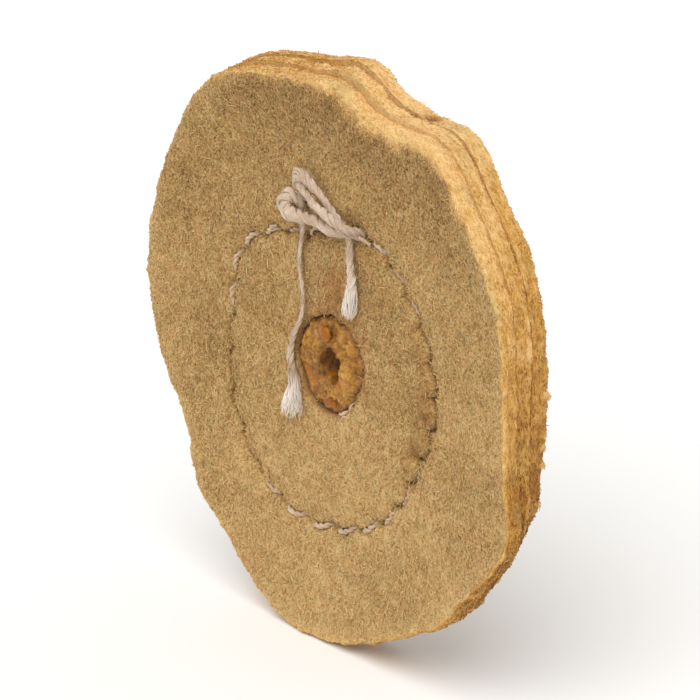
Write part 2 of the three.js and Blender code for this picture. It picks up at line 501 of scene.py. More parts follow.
def applyTree(holder, tree, values):
    # Runs a node tree on an object and returns the plain mesh that it makes.
    modifier = holder.modifiers.new("build", "NODES")
    modifier.node_group = tree
    for item in tree.interface.items_tree:
        if item.in_out == "INPUT" and item.name in values:
            modifier[item.identifier] = values[item.name]
    bpy.context.view_layer.update()
    graph = bpy.context.evaluated_depsgraph_get()
    mesh = bpy.data.meshes.new_from_object(holder.evaluated_get(graph), depsgraph=graph)
    holder.modifiers.remove(modifier)
    bpy.data.objects.remove(holder)
    return mesh


def spin(name, strands, sides, material):
    # strands is a list of (points, radii) in millimetres.
    curve = bpy.data.curves.new(name, "CURVE")
    curve.dimensions = "3D"
    for points, radii in strands:
        spline = curve.splines.new("POLY")
        spline.points.add(len(points) - 1)
        spline.points.foreach_set("co", np.column_stack([points * mm, np.ones(len(points))]).ravel())
        spline.points.foreach_set("radius", np.asarray(radii) * mm)
    mesh = applyTree(placed(name, curve), yarnTree, {"Sides": sides, "Material": material})
    mesh.name = name
    bpy.data.curves.remove(curve)
    return mesh


def catmullRom(points, steps):
    # A smooth line through the given points, steps pieces to each span.
    points = np.asarray(points, float)
    ends = np.vstack([2 * points[0] - points[1], points, 2 * points[-1] - points[-2]])
    line = []
    for a, b, c, d in zip(ends, ends[1:], ends[2:], ends[3:]):
        for share in np.arange(steps) / steps:
            line.append(0.5 * (2 * b + (c - a) * share + (2 * a - 5 * b + 4 * c - d) * share ** 2
                               + (3 * b - a - 3 * c + d) * share ** 3))
    line.append(points[-1])
    return np.array(line)


def laidLine(route, steps):
    # A line over the front face through these places.
    points = [(x, faceFront - (lift[0] if lift else yarnTwist["lying"]), z) for x, *lift, z in route]
    return catmullRom(points, steps)


def lengthsAlong(line):
    return np.concatenate([[0], np.cumsum(np.linalg.norm(np.diff(line, axis=0), axis=1))])


def carriedFrames(line):
    # Two directions across the line at each point, carried along without twist.
    along = np.gradient(line, axis=0)
    along /= np.linalg.norm(along, axis=1)[:, None]
    side = np.cross(along[0], (0.3, 1.0, 0.2))
    sides = []
    for direction in along:
        side = side - direction * (side @ direction)
        side /= np.linalg.norm(side)
        sides.append(side)
    sides = np.array(sides)
    return sides, np.cross(along, sides)


def twistStrands(line, radius, twist, loose=0.0):
    # Plies laid round a centreline, each a ring of fibre bundles: radius is the yarn's own, at each
    # point. The twist dies out over the loose stretch at the line's start.
    side, up = carriedFrames(line)
    along = lengthsAlong(line)
    laid = smooth(0.3 * loose - 0.01, 1.3 * loose, along) if loose else np.ones(len(line))
    turn = 2 * math.pi * np.cumsum(np.gradient(along) * laid) / twist["pitch"]

    def ring(count, reach, phase):
        for place in range(count):
            angle = turn + phase + 2 * math.pi * place / count
            out = np.cos(angle)[:, None] * side + np.sin(angle)[:, None] * up
            yield out * (reach * radius)[:, None]

    strands = []
    for ply, offset in enumerate(ring(twist["plies"], 0.42, 0.0)):
        if twist["bundles"] == 1:
            strands.append((line + offset, 0.58 * radius))
            continue
        for number, spread in enumerate(ring(twist["bundles"], 0.33, 1.7 * ply)):
            loosened = 1 + 0.25 * softNoise(line, 2.5, 200 + 10 * ply + number)[:, None]
            strands.append((line + (offset + spread) * loosened * twist["flattened"], 0.25 * radius))
    return strands


# The routes of the two free ends, from the frayed end up to the stitch hole: x, lift off the face, z,
# or only x and z where the yarn lies on the face.
# The thickness and the brush of loose fibres go by distance from the free end.
tails = {
    "leftTail": {
        "node": "left_tail",
        "length": 66.0,
        "route": [
            (-9.8, -11.5), (-9.5, -8.5), (-9.1, -5.7), (-9.7, -3.2), (-10.2, -0.5), (-9.8, 1.7),
            (-8.9, 4.1), (-7.2, 6.9), (-6.6, 9.6), (-6.7, 12.7), (-7.3, 15.1), (-7.5, 17.7),
            (-7.1, 20.3), (-6.7, 22.2), (-6.4, 24.4), (-6.5, 1.0, 26.4), (-6.9, 1.2, 28.0),
            (-7.8, 1.6, 28.8), (-8.8, 2.1, 28.9), (-9.5, 2.4, 27.9), (-9.2, 2.6, 26.7),
            (-7.8, 2.7, 26.1), (-5.0, 2.6, 26.1), (-1.8, 2.5, 26.3), (0.5, 2.4, 25.8),
            (3.0, 2.2, 25.5), (5.3, 1.7, 25.5), (6.9, 0.8, 25.4), (7.6, -0.8, 25.1),
        ],
        "thickness": [(0, 1.4), (6, 1.6), (9, 1.6), (13, 1.2), (16, 0.95), (22, 0.7), (34, 0.75),
                      (38, 1.2), (41, 2.1), (45, 2.9), (48, 2.6), (52, 1.9), (58, 2.1), (63, 1.8),
                      (68, 1.2)],
        "brush": [(0, 3.8), (1.5, 4.3), (3.5, 3.4), (6, 2.1), (9, 1.5)],
        "fray": 5.5,
        "frayFibres": 300,
    },
    "rightTail": {
        "node": "right_tail",
        "length": 49.0,
        "route": [
            (5.9, 10.6), (6.4, 12.8), (6.8, 15.2), (6.8, 17.7), (6.4, 20.2), (6.4, 22.7), (6.1, 24.6),
            (4.9, 26.1),
            (2.1, 1.0, 28.0), (-0.3, 1.4, 30.2), (-2.3, 1.7, 31.7), (-3.9, 2.0, 32.8),
            (-5.1, 2.4, 33.5), (-5.9, 2.6, 32.9), (-5.8, 2.4, 31.7), (-4.7, 2.2, 30.7),
            (-3.0, 2.4, 30.0), (-1.4, 2.7, 29.3), (0.8, 3.0, 28.7), (2.7, 3.0, 28.1),
            (4.9, 2.6, 27.2), (6.7, 1.9, 26.4), (7.5, 0.8, 25.9), (7.8, -0.8, 25.3),
        ],
        "thickness": [(0, 1.5), (5, 1.8), (8, 1.6), (14, 1.35), (17, 1.15), (22, 1.4), (26, 1.8),
                      (29, 2.4), (31, 2.1), (33, 1.4), (38, 1.6), (44, 1.8), (50, 1.2)],
        "brush": [(0, 2.3), (1.5, 2.9), (3.5, 2.6), (7, 1.7)],
        "fray": 3.6,
        "frayFibres": 200,
    },
}

yarnTwist = {
    "plies": 3,
    "bundles": 5,  # of fibres in each ply
    "pitch": 5.6,  # one turn of the plies
    "flattened": (1.12, 0.75, 1.12),  # the yarn lies spread out on the face
    "steps": 12,  # pieces of line to each span of a route
    "lying": 0.95,  # lift of its middle where it lies on the face
    "fibreRadius": 0.055,
    "hairs": 200,
    "hairRadius": 0.03,
}


def frayedFibres(line, tail, random):
    # Loose fibres that fan out over the tail's last stretch. The line starts at the free end.
    side, up = carriedFrames(line)
    along = lengthsAlong(line)
    half = np.interp(along, *np.array(tail["brush"]).T) / 2
    onwards = (line[0] - line[6]) / np.linalg.norm(line[0] - line[6])
    fibres = []
    for _ in range(tail["frayFibres"]):
        root = tail["fray"] * random.uniform(0.9, 1.7)
        tip = random.uniform(0.0, 1.0) ** 1.3 * 0.7 * tail["fray"] - 0.6 * (random.uniform(0, 1) < 0.2)
        at = np.linspace(root, tip, 10)
        share = np.linspace(0, 1, 10)
        centre, across, above = (np.stack([np.interp(at, along, rail[:, i]) for i in range(3)], axis=1)
                                 for rail in (line, side, up))
        angle = random.uniform(0, 2 * math.pi) + share ** 2 * random.uniform(-1.8, 1.8)
        reach = np.interp(at, along, half) * math.sqrt(random.uniform(0.02, 1))
        points = (centre + across * (reach * np.cos(angle))[:, None]
                  + above * (reach * np.sin(angle))[:, None])
        points += onwards * np.maximum(-at, 0)[:, None]  # the longest reach past the line's end
        points[:, 1] = np.minimum(points[:, 1], faceFront - 0.15)
        thick = yarnTwist["fibreRadius"] * random.uniform(0.6, 1.2)
        fibres.append((points, thick * np.array([1, 1, 1, 1, 1, 1, 1, 0.9, 0.7, 0.35])))
    return fibres


def straggle(line, radius, count, thick, random):
    # Fine hairs that stand off the yarn.
    side, up = carriedFrames(line)
    hairs = []
    for _ in range(count):
        at = random.integers(2, len(line) - 8)
        angle = random.uniform(0, 2 * math.pi)
        out = side[at] * math.cos(angle) + up[at] * math.sin(angle)
        forward = line[at + 1] - line[at - 1]
        forward /= np.linalg.norm(forward)
        lean = forward * random.choice((-1, 1)) * random.uniform(0.5, 1.6)
        curl = np.cross(out, forward) * random.uniform(-0.5, 0.5)
        share = np.linspace(0, 1, 5)[:, None]
        reach = random.uniform(0.4, 1.0)
        points = line[at] + out * radius[at] * 0.8 + lean * share + out * reach * share * (
            1.3 - share) + curl * share ** 2
        hairs.append((points, thick * np.array([1, 1, 0.9, 0.7, 0.3])))
    return hairs


def makeTail(name, tail, seed):
    random = np.random.default_rng(seed)
    line = laidLine(tail["route"], yarnTwist["steps"])
    along = lengthsAlong(line)
    radius = np.interp(along, *np.array(tail["thickness"]).T) / 2
    radius = radius * (1 + 0.06 * softNoise(line, 1.1, seed))
    thinned = radius * (0.25 + 0.75 * smooth(0.2 * tail["fray"], 1.1 * tail["fray"], along))
    whole = along > 0.25 * tail["fray"]
    strands = twistStrands(line[whole], thinned[whole], yarnTwist, tail["fray"])
    strands += frayedFibres(line, tail, random)
    strands += straggle(line, radius, yarnTwist["hairs"], yarnTwist["hairRadius"], random)
    mesh = spin(name, strands, 5, cotton)
    fromEnd = np.linalg.norm(pointsOf(mesh) - line[0], axis=1)
    paint(mesh, {"loose": 0.85 * smooth(8.5, 4.0, fromEnd)})
    piece = plainObject(name, mesh, cotton, [tail["node"]])
    print(name, "centreline", round(along[-1], 1), "mm")
    return piece


stitch = {
    "thickness": 1.05,
    "plies": 2,
    "bundles": 1,
    "pitch": 3.0,
    "steps": 24,  # pieces of line to each stitch
    "lie": 0.15,  # depth of the thread's middle below the face, half way along a stitch
    "dive": 2.3,  # how much deeper it is in the holes
    "slant": 0.35,  # each stitch starts this far outside the sewing line and ends as far inside it
    "swell": 0.75,  # how far it bows outwards between its ends
    # directions in which the thread is pulled in deeper, how widely and by how much
    "sunk": [(8, 66, 1.5), (106, 16, 1.3), (206, 30, 1.8)],
}

# Short bits of thread standing out of the seam and of the core's edge: x, lift off the face, z.
threadBits = [
    [(-5.6, -0.3, 22.2), (-4.6, 0.5, 23.3), (-3.3, 0.6, 24.1), (-2.0, -0.3, 23.9)],
    [(-16.9, -0.3, 20.3), (-16.2, 0.5, 21.1), (-15.4, -0.3, 21.5)],
    [(8.2, -0.3, 24.8), (9.1, 0.9, 25.4), (10.3, -0.3, 24.3)],
    [(1.6, -0.9, -8.2), (2.7, 0.1, -8.1), (3.8, 0.2, -7.5), (4.6, -0.6, -6.9)],
    [(2.4, -0.8, -8.6), (3.4, 0.1, -8.3), (4.5, -0.2, -8.0)],
    [(4.6, -0.8, -7.2), (5.3, 0.0, -6.2), (5.6, -0.7, -5.2)],
]


def stitchPhase(degrees):
    # How many stitches from the first hole.
    return (degrees - wheel["firstHole"]) * wheel["stitches"] / 360


def stitchLine(degrees):
    # The scalloped line that the thread takes along the sewn ring.
    share = stitchPhase(degrees) % 1
    bow = stitch["swell"] * (np.sin(math.pi * share) - 0.5)
    return sewingRing(degrees) + stitch["slant"] * np.cos(math.pi * share) + bow


def sewnThread(name, node, face, outward, seed):
    # The thread of one face, from the first hole all the way round and back into it.
    count = wheel["stitches"] * stitch["steps"]
    phase = np.arange(count + 1) / stitch["steps"]
    degrees = wheel["firstHole"] + phase * 360 / wheel["stitches"]
    inHole = np.abs(np.cos(math.pi * phase)) ** 5
    wander = softNoise(onWheel(30.0, 0.0, degrees), 5.0, seed)
    depth = stitch["lie"] + allBumps(stitch["sunk"], degrees) + stitch["dive"] * inHole + 0.15 * wander
    line = onWheel(stitchLine(degrees) + 0.2 * wander, face - outward * depth, degrees)
    radius = np.full(len(line), stitch["thickness"] / 2) * (1 + 0.15 * softNoise(line, 1.3, seed))
    strands = twistStrands(line, radius, stitch)
    if outward < 0:
        for bit in threadBits:
            curl = laidLine(bit, 8)
            strands += twistStrands(curl, np.full(len(curl), 0.3 * stitch["thickness"]), stitch)
    mesh = spin(name, strands, 8, sewing)
    return plainObject(name, mesh, sewing, [node])


# rounds: the rim's front and back corners. borders: the two of the four lines round the rim that
# the disc lies between. tufts: direction and size.
discs = {
    "frontDisc": {
        "node": "front_ply", "slot": "suede", "seed": 3, "fine": "front",
        "rounds": (0.7, 0.2), "ragged": 0.2, "borders": (0, 1), "tone": 0.04, "tufts": [],
    },
    "middleDisc": {
        "node": "middle_ply", "slot": "suede_middle", "seed": 5, "fine": "neither",
        "rounds": (0.2, 0.26), "ragged": 0.22, "borders": (1, 2), "tone": 0.0, "tufts": [],
    },
    "backDisc": {
        "node": "back_ply", "slot": "suede_back", "seed": 8, "fine": "back",
        "rounds": (0.26, 0.45), "ragged": 0.26, "borders": (2, 3), "tone": -0.08,
        "tufts": [(7.1, 1.5), (-1.8, 1.2), (-4.6, 0.9), (-8.4, 1.4), (-17.0, 0.8), (-41.0, 0.7)],
    },
}

discGrid = {
    "columns": 810,
    "nearRing": [0.15, 0.3, 0.45, 0.65, 0.9, 1.2, 1.6, 2.1, 2.7],  # rows crowd in beside the thread
    "innerRows": 28,
    "outerRows": 36,
    "plainRows": 6,
    "roundRows": 5,
    "wallRows": 10,
    "drawnOut": 3.5,  # how much longer than wide the flecks of the cut edge are
}


def faceRings(hole, rim, ring, fine):
    # Radii of one face's rows, from the punched hole out to the rim.
    if not fine:
        return [hole + (rim - hole) * share for share in np.linspace(0, 1, discGrid["plainRows"])]
    near = discGrid["nearRing"]
    band = near[-1]
    inner = [hole + (ring - band - hole) * share
             for share in np.linspace(0, 1, discGrid["innerRows"], endpoint=False)]
    middle = [ring - off for off in reversed(near)] + [ring] + [ring + off for off in near]
    outer = [ring + band + (rim - ring - band) * share
             for share in np.linspace(0, 1, discGrid["outerRows"])[1:]]
    return inner + middle + outer


def puckered(radius, degrees):
    # Depth of the sewn-in groove, deepest at the needle holes.
    off = radius - stitchLine(degrees)
    phase = stitchPhase(degrees)
    toHole = np.abs(phase - np.round(phase)) * 2 * math.pi * sewingRing(degrees) / wheel["stitches"]
    crease = 0.75 * np.exp(-(np.abs(off) / 0.62) ** 2.6)
    return 0.5 * hill(off, 2.1) + crease + 0.5 * hill(toHole, 0.75) * hill(off, 0.75)


def faceRelief(points, seed):
    # Unevenness of a hand-cut split: gentle waves, lumps and the nap's own tufts.
    return rough(points, seed, (0.2, 15.0), (0.1, 4.5), (0.07, 1.6), (0.06, 0.8))


def edgeRelief(points, seed):
    # Torn fibre bundles of the cut edge: pebbles, and ridges that run round the wheel.
    angle = np.degrees(np.arctan2(points[..., 2], points[..., 0]))
    unrolled = np.stack([angle * 0.88 / 7, points[..., 1] / 0.45, 0 * angle], axis=-1)
    return rough(points, seed, (0.12, 0.75), (0.12, 1.7), (0.1, 5.0)) + rough(
        unrolled, seed + 3, (0.1, 1.0))


def border(circle, number):
    # How far the front, the two seams and the back wander along the axis at the rim.
    waves = ((0.3, 9.0), (0.14, 2.4), (0.1, 0.9))
    return sum(rough(circle, 100 + 10 * i + number, wave) for i, wave in enumerate(waves))


def holeEdge(node, degrees):
    # The punched hole, stretched and torn out of round where the core was pressed in.
    stretched = allBumps([(165, 55, 0.6), (-28, 38, -0.9), (20, 16, 0.5)], degrees)
    torn = rough(onWheel(8.0, 0.0, degrees), 7, (0.4, 1.9), (0.2, 0.8))
    return reachOf(node, np.minimum)(degrees) + stretched + torn


# Where shellac ran into the face: x, z, width, strength.
stains = [(1.2, 14.4, 3.4, 0.4), (5.6, 10.6, 1.6, 0.6), (-2.5, 10.6, 2.0, 0.3), (9.5, 6.0, 1.6, 0.35)]
# Paler and darker all round the wheel: direction, width, how much. On the cut edge this is painted light,
# paler towards the top where the light falls and darker at the lower right.
shades = {
    "disc": [(270, 58, 0.19), (0, 45, 0.07)],
    "cutEdgePaintedLight": [(66, 24, 0.46), (100, 30, 0.12), (-38, 42, -0.46)],
}
nick = {"degrees": 68.0, "height": 3.0, "width": 1.2, "depth": 0.9}


def makeDisc(name, disc):
    seed, node, borders = (disc[key] for key in ("seed", "node", "borders"))
    fineFront, fineBack = (disc["fine"] == side for side in ("front", "back"))
    degrees = np.arange(discGrid["columns"]) * 360 / discGrid["columns"]
    circle = onWheel(50.0, 0.0, degrees)
    rag = (disc["ragged"] * softNoise(circle, 3.2, seed)
           + 0.5 * disc["ragged"] * softNoise(circle, 1.1, seed)
           + 0.4 * softNoise(circle, 14.0, seed))
    rim = reachOf(node, np.maximum)(degrees) + rag - 0.3
    hole = holeEdge(node, degrees)
    ring = sewingRing(degrees)
    low, high = flatFaces(node)
    # the first seam nearly closes at the upper right
    faint = 1 - 0.8 * bump(64, 34, degrees) * (1 in borders)
    frontRound, backRound = disc["rounds"]
    frontRound = frontRound * (1 + 1.6 * bump(75, 40, degrees) if fineFront else faint)
    backRound = backRound * (faint if fineFront else 1)
    for number, wave in ((61, (0.5, 3.5)), (65, (0.4, 0.9))):
        frontRound = frontRound * (1 + rough(circle, seed + number, wave))
    for number, wave in ((62, (0.5, 3.0)), (66, (0.5, 0.9))):
        backRound = backRound * (1 + rough(circle, seed + number, wave))
    holeRound = 0.5
    rows = []  # radius, height, how far it faces outwards, how far it faces back

    def addFace(height, facing, fine, outerRound):
        rings = faceRings(hole + holeRound, rim - outerRound, ring, fine)
        rows.extend((radius, height, 0.0, facing) for radius in rings[::-int(facing)])

    def addRound(edge, height, size, outwards, facing, turns):
        # A rounded corner: turns run from 0 on the face to a right angle on the wall.
        for turn in turns:
            rows.append((edge - outwards * size * (1 - math.sin(turn)),
                         height - facing * size * (1 - math.cos(turn)),
                         outwards * math.sin(turn), facing * math.cos(turn)))

    quarter = np.linspace(0, math.pi / 2, discGrid["roundRows"] + 1)
    quarter[0] = 0.02  # so that the face's pattern gives way to the edge's within a hair's breadth
    addFace(low, -1.0, fineFront, frontRound)
    addRound(rim, low, frontRound, 1, -1, quarter)
    wall = high - low - frontRound - backRound
    rows += [(rim, low + frontRound + wall * share, 1.0, 0.0) for share in between(discGrid["wallRows"])]
    addRound(rim, high, backRound, 1, 1, quarter[::-1])
    addFace(high, 1.0, fineBack, backRound)
    addRound(hole, high, holeRound, -1, 1, quarter)
    addRound(hole, low, holeRound, -1, -1, quarter[::-1])

    radius, height, out, back = gather(rows, degrees)
    turned = np.broadcast_to(degrees, radius.shape)
    base = onWheel(radius, height, turned)
    through = (height - low) / (high - low)
    first, last = (border(circle, number) for number in borders)
    # neighbours touch along the rim
    first = first - 0.075 * (borders[0] > 0)
    last = last + 0.075 * (borders[1] < 3)
    wander = smooth(7, 1.5, rim - radius) * (first * (1 - through) + last * through)
    hidden = (back < 0) & (not fineFront) | (back > 0) & (not fineBack)
    onFace = np.where(hidden, 0.15, 1.0) * np.abs(back) ** 2
    onEdge = np.clip(out, 0, 1)
    groove = puckered(radius, turned) * np.where((np.abs(out) > 0) | hidden, 0, 1)
    ridge = hill(through - 0.86, 0.13) * np.clip(softNoise(base, 2.6, seed + 63), 0, 1)
    ridge = ridge * (borders[1] == 2)
    # half a millimetre wide where a degree is 0.82 of one
    tuft = sum(size * bump(at, 0.5 / 0.82, turned) for at, size in disc["tufts"])
    tuft = tuft * hill(through - 0.9, 0.2)
    relief = edgeRelief(base, seed + 20) + 0.35 * ridge + tuft * (0.8 + 0.5 * softNoise(base, 0.5, 9))
    toNick = np.linalg.norm(base - onWheel(radius, nick["height"], nick["degrees"]), axis=-1)
    nicked = hill(toNick, nick["width"]) * onEdge
    lift = onFace * faceRelief(base, seed) + out ** 2 * relief - groove - nick["depth"] * nicked
    radius = radius + lift * out
    height = height + lift * back + cup(radius) + wander
    points = onWheel(radius, height, turned)

    fromRim = rim - radius
    fade = 1.0 + 3.2 * bump(75, 34, degrees) * fineFront
    frayed = fade * (1 + 0.8 * softNoise(base, 2.2, seed + 31))
    leftSide = bump(190, 70, turned) * (back < 0) * fineFront
    edge = np.maximum(onEdge ** 0.8, (1 - smooth(0.1, 1, fromRim / frayed)) * (fromRim < 8) * 0.85)
    paleTuft = np.clip(tuft, 0, 1)
    edge = edge * (1 - 0.8 * leftSide) * (1 - 0.7 * paleTuft)
    corner = hill(onEdge - 0.4, 0.4) * (onEdge > 0) * (back < 0) * fineFront
    # painted light on the cut edge: paler towards the top and darker at the lower right, and the lift
    # term makes its raised grains paler and its dips darker
    cutToneAndLight = (disc["tone"] - 0.08 + allBumps(shades["cutEdgePaintedLight"], turned)
               + 0.5 * np.clip(lift, -0.4, 0.4) + 0.12 * softNoise(base, 0.9, seed + 40))
    tone = (0.365 + rough(base, seed, (0.09, 11.0), (0.06, 3.5)) + allBumps(shades["disc"], turned)
            - 0.16 * bump(82, 45, turned) * smooth(34, 44, radius) * (1 - edge)
            + edge * cutToneAndLight + 0.14 * corner + 0.35 * ridge + 0.4 * paleTuft)
    lump = softNoise(base, 2.4, seed + 50)
    soak = 0.5 * smooth(1.6, 0.0, radius - hole + 0.8 * lump)
    for x, z, width, strength in stains if fineFront else ():
        off = np.hypot(base[..., 0] - x, base[..., 2] - z)
        soak = soak + strength * hill(off, width) * (0.75 + 0.6 * lump) * (back < 0)
    blotch = 0.5 + 0.5 * lump + 0.7 * softNoise(base, 1.1, seed + 53)
    inside = hill(radius - ring + 1.9, 1.6) * bump(-9, 24, turned) * (back < 0) * blotch
    inside = np.clip(inside * fineFront, 0, 1)
    seam = smooth(0.35, 0.9, np.abs(back)) * (onEdge > 0) * hidden * faint
    soak = soak + 0.9 * nicked + 0.7 * inside + 0.45 * seam
    # painted shade with some grime: darker down the sewn groove, more where the thread is pulled in
    # deeper, on the punched hole's wall, in the nick and along the seams between the plies; the patches
    # inside the ring take the same dark as brown stain
    tight = 0.6 * np.clip(sum(bump(at, width, turned) for at, width, _ in stitch["sunk"]), 0, 1)
    paintedShadeAndStain = 0.5 * smooth(1.3, 1.9, groove) + (0.15 + tight) * smooth(0.7, 1.2, groove) + 0.3 * (out < 0)
    paintedShadeAndStain = paintedShadeAndStain + 0.6 * nicked + 0.2 * seam + 0.6 * inside
    visible = np.where(hidden | (radius < hole + 0.3), 0, 1)
    near = smooth(0.5, 5.0, fromRim)
    comb = bump(95, 40, turned) * smooth(36, 44, radius) + bump(-35, 40, turned) * smooth(30, 40, radius)
    comb = np.clip(comb, 0, 1)
    mesh = ringMesh(name, points)
    paint(mesh, {
        "edge": edge, "tone": tone, "soak": np.clip(soak, 0, 1), "paintedShadeAndStain": np.clip(paintedShadeAndStain, 0, 1),
        "nap": np.where(onEdge > 0, 1.4, visible * (1 - 0.95 * smooth(0.7, 1.3, groove))),
        "reach": np.where(onEdge > 0, 0.55, 0.5 + 0.5 * near),
        "comb": np.maximum(comb * near, 0.9 * (onEdge > 0)),
    })
    # the nap lies outwards on the faces and round the wheel on the cut edge, and the edge's
    # pattern is drawn out the same way
    onRim = onEdge[..., None] > 0
    flow = np.where(onRim, onWheel(1.0, 0.0, turned + 90), -onWheel(1.0, 0.0, turned))
    arc = np.radians((turned + 180) % 360) * 50.0
    unrolled = np.stack([arc / discGrid["drawnOut"], points[..., 1] + 20.0, radius], axis=-1)
    paint(mesh, {"flow": flow, "grain": np.where(onRim, unrolled, points) * mm})
    return plainObject(name, mesh, napped, [node])


naps = {
    "frontNap": {"on": "frontDisc", "density": 3.6, "seed": 11},
    "frontCurls": {"on": "frontDisc", "density": 0.9, "seed": 12},
    "middleNap": {"on": "middleDisc", "density": 4.0, "seed": 13, "shortest": 0.5,
                  "longest": 1.5, "width": 0.2, "upright": 50, "flat": 86},
    "backNap": {"on": "backDisc", "density": 3.4, "seed": 14},
    "backCurls": {"on": "backDisc", "density": 0.8, "seed": 15},
}

# What a nap is like unless it says otherwise. It leans by upright to flat degrees.
napKinds = {
    "Nap": {"rings": [(0.45, 1.0, 0.14)], "shortest": 0.3, "longest": 0.85, "width": 0.22,
            "upright": 40, "flat": 80, "dullest": 0.0},
    "Curls": {"rings": [(0.3, 0.9, 0.13), (0.7, 0.9, 0.17)], "shortest": 0.8, "longest": 2.4,
              "width": 0.15, "upright": 72, "flat": 88, "dullest": 0.4},
}


def makeFibre(name, rings):
    # A bent spindle of unit length along Z: (height, thickness, arch) for each ring of three.
    points = [(0, 0, 0)]
    for height, thick, arch in rings:
        for corner in range(3):
            angle = 2 * math.pi * corner / 3
            points.append((thick / 2 * math.cos(angle), arch + thick / 2 * math.sin(angle), height))
    points.append((0, 0, 1))
    tip = len(points) - 1
    sides = [(i, (i + 1) % 3) for i in range(3)]
    faces = [(0, 1 + b, 1 + a) for a, b in sides]
    for first in range(1, tip - 3, 3):
        faces += [(first + a, first + b, first + 3 + b, first + 3 + a) for a, b in sides]
    faces += [(tip - 3 + a, tip - 3 + b, tip) for a, b in sides]
    mesh = bpy.data.meshes.new(name)
    mesh.from_pydata(points, [], faces)
    return placed(name, mesh)


def buildNapTree():
    # Fibres scattered over a disc, each leaning its own way, or combed where the disc says so.
    tree, given = newTree("napFibres", {
        "Fibre": "Object", "Density": "Float", "Shortest": "Float", "Longest": "Float",
        "Width": "Float", "Upright": "Float", "Flat": "Float", "Dullest": "Float", "Seed": "Int",
        "Material": "Material"})

    def stored(name, kind="FLOAT"):
        return addNode(tree, "GeometryNodeInputNamedAttribute", {"Name": name}, data_type=kind).outputs[0]

    def chance(low, high, offset):
        seed = compute(tree, "ADD", given["Seed"], offset)
        return addNode(tree, "FunctionNodeRandomValue", {2: low, 3: high, 8: seed}).outputs[1]

    def turned(rotation, **angles):
        # Turns about the fibre's own axes.
        angles = addNode(tree, "ShaderNodeCombineXYZ", angles).outputs[0]
        turn = addNode(tree, "FunctionNodeEulerToRotation", {0: angles}).outputs[0]
        inputs = {0: rotation, 1: turn}
        return addNode(tree, "FunctionNodeRotateRotation", inputs, rotation_space="LOCAL").outputs[0]

    scatter = addNode(tree, "GeometryNodeDistributePointsOnFaces", {
        "Mesh": given["Geometry"], 4: compute(tree, "MULTIPLY", given["Density"], stored("nap")),
        "Seed": given["Seed"]})
    outwards = addNode(tree, "FunctionNodeAxesToRotation", {
        "Primary Axis": scatter.outputs["Normal"], "Secondary Axis": stored("flow", "FLOAT_VECTOR")},
        primary_axis="Z", secondary_axis="Y").outputs[0]
    # combed fibres keep within a sixth of a half turn of the flow, the rest lie anyhow
    loose = compute(tree, "MULTIPLY_ADD", stored("comb"), -0.84, 1.0)
    swing = compute(tree, "MULTIPLY", chance(-math.pi, math.pi, 1), loose)
    reach = stored("reach")
    rise = compute(tree, "MULTIPLY", chance(0.0, 1.0, 2), reach)
    lean = remap(tree, rise, 0.0, 1.0, given["Flat"], given["Upright"])
    leaning = turned(outwards, X=lean, Z=swing)
    width = compute(tree, "MULTIPLY", chance(0.6, 1.3, 5), given["Width"])
    length = compute(tree, "MULTIPLY", chance(given["Shortest"], given["Longest"], 4), reach)
    size = addNode(tree, "ShaderNodeCombineXYZ", {"X": width, "Y": width, "Z": length})
    fibre = addNode(tree, "GeometryNodeObjectInfo", {"Object": given["Fibre"]})
    planted = addNode(tree, "GeometryNodeInstanceOnPoints", {
        "Points": scatter.outputs["Points"], "Instance": fibre.outputs["Geometry"],
        "Rotation": turned(leaning, Z=chance(-1.2, 1.2, 3)), "Scale": size.outputs[0]})
    shaded = addNode(tree, "GeometryNodeStoreNamedAttribute", {
        "Geometry": planted.outputs["Instances"], "Name": "shade",
        "Value": chance(given["Dullest"], 1.0, 6)}, data_type="FLOAT", domain="INSTANCE")
    return endTree(tree, shaded.outputs["Geometry"], given["Material"])


def growNap(name, nap):
    kind = "Curls" if name.endswith("Curls") else "Nap"
    look = {**napKinds[kind], **nap}
    values = {key.capitalize(): look[key] * mm for key in ("shortest", "longest", "width")}
    values.update({key.capitalize(): math.radians(look[key]) for key in ("upright", "flat")})
    values.update({
        "Fibre": fibreShapes[kind], "Density": look["density"] / mm ** 2, "Dullest": look["dullest"],
        "Seed": look["seed"], "Material": napMaterial})
    holder = placed(name + "Holder", bpy.data.objects[look["on"]].data)
    mesh = applyTree(holder, napTree, values)
    mesh.name = name
    print(name, "triangles", sum(len(p.vertices) - 2 for p in mesh.polygons))
    return plainObject(name, mesh, napMaterial)


core = {
    "columns": 260,
    "boreRows": 14,
    "faceRows": 30,
    "rimRows": 4,
    "clearance": 0.15,  # between its side and the punched hole
    "bore": 3.175,
    "lip": 0.35,  # how far the bore's lip stands proud of the leather
    "dip": 0.9,  # depth of the crease at its outer edge
    "seed": 61,
}


